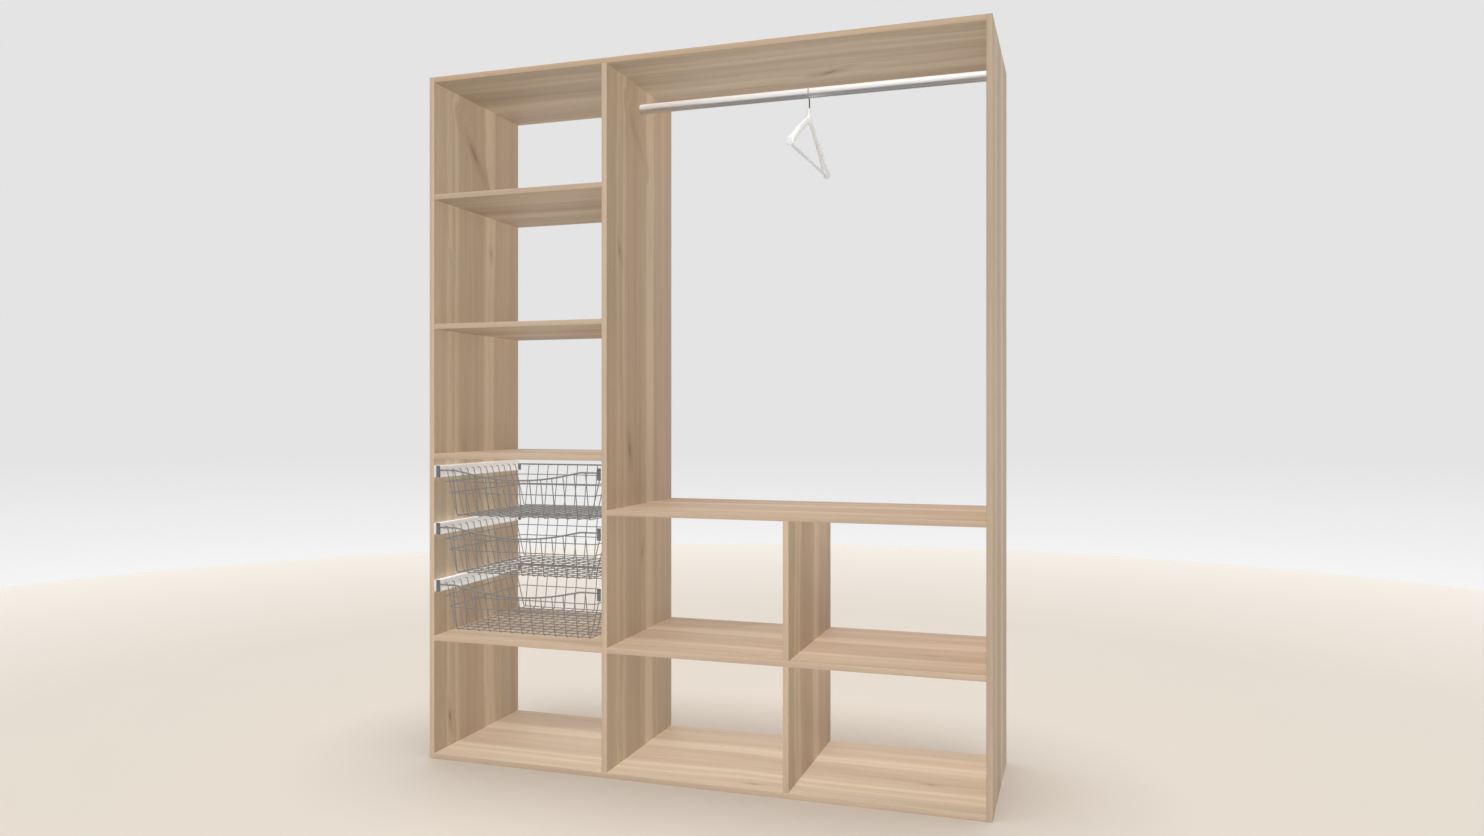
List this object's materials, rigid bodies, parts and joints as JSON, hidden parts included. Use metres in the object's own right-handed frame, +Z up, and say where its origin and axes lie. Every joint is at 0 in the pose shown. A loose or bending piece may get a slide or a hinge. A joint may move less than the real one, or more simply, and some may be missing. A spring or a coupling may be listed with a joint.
{
  "type": "open closet system",
  "caption": "Open closet in wood-faced board with shelves, pull-out wire baskets, a hanging rail with a hanger, and open compartments.",
  "frame": {"origin": "on the floor, in the middle of the footprint", "axes": "+Z up, +Y towards the wall, -Y the open front, +X to the right seen from the front"},
  "size_m": [1.7, 0.51, 2.104],
  "materials": {
    "board": "satin oak-look facing",
    "tongue": "plain",
    "rail": "polished",
    "plug": "moulded",
    "runner": "moulded white",
    "cap": "moulded grey",
    "wire": "satin grey coating",
    "hook": "polished",
    "hanger": "white",
    "hanger_bar": "light grey"
  },
  "bodies": {
    "carcass": {"base_shelf": "board", "basket_1_runners": "runner", "basket_2_runners": "runner", "basket_3_runners": "runner", "bottom_board": "board", "cube_shelf": "board", "hanging_rail": "rail", "joint_tongues": "tongue", "left_side_panel": "board", "lower_divider": "board", "lower_shelf": "board", "middle_shelf": "board", "partition_panel": "board", "rail_plugs": "plug", "right_side_panel": "board", "top_board": "board", "upper_divider": "board", "upper_shelf": "board", "wide_shelf": "board"},
    "basket_1": {"basket_1_cross_wires": "wire", "basket_1_front_caps": "cap", "basket_1_front_rim": "wire", "basket_1_glides": "runner", "basket_1_long_wires": "wire", "basket_1_rear_rim": "wire", "basket_1_rear_stops": "cap", "basket_1_rings": "wire"},
    "basket_2": {"basket_2_cross_wires": "wire", "basket_2_front_caps": "cap", "basket_2_front_rim": "wire", "basket_2_glides": "runner", "basket_2_long_wires": "wire", "basket_2_rear_rim": "wire", "basket_2_rear_stops": "cap", "basket_2_rings": "wire"},
    "basket_3": {"basket_3_cross_wires": "wire", "basket_3_front_caps": "cap", "basket_3_front_rim": "wire", "basket_3_glides": "runner", "basket_3_long_wires": "wire", "basket_3_rear_rim": "wire", "basket_3_rear_stops": "cap", "basket_3_rings": "wire"},
    "hook": {"hanger_hook": "hook"},
    "hanger": {"hanger_body": "hanger", "hanger_bar": "hanger_bar"}
  },
  "joints": [
    {"name": "basket_1_slide", "type": "slide", "parent": "carcass", "child": "basket_1", "axis": [0, -1, 0], "range_m": [0, 0.35]},
    {"name": "basket_2_slide", "type": "slide", "parent": "carcass", "child": "basket_2", "axis": [0, -1, 0], "range_m": [0, 0.35]},
    {"name": "basket_3_slide", "type": "slide", "parent": "carcass", "child": "basket_3", "axis": [0, -1, 0], "range_m": [0, 0.35]},
    {"name": "hanger_slide", "type": "slide", "parent": "carcass", "child": "hook", "axis": [1, 0, 0], "range_m": [-0.3, 0.3]},
    {"name": "hanger_swivel", "type": "hinge", "parent": "hook", "child": "hanger", "pos_m": [0.295, 0, 1.973], "axis": [0, 0, 1], "range_deg": [-90, 90]}
  ]
}
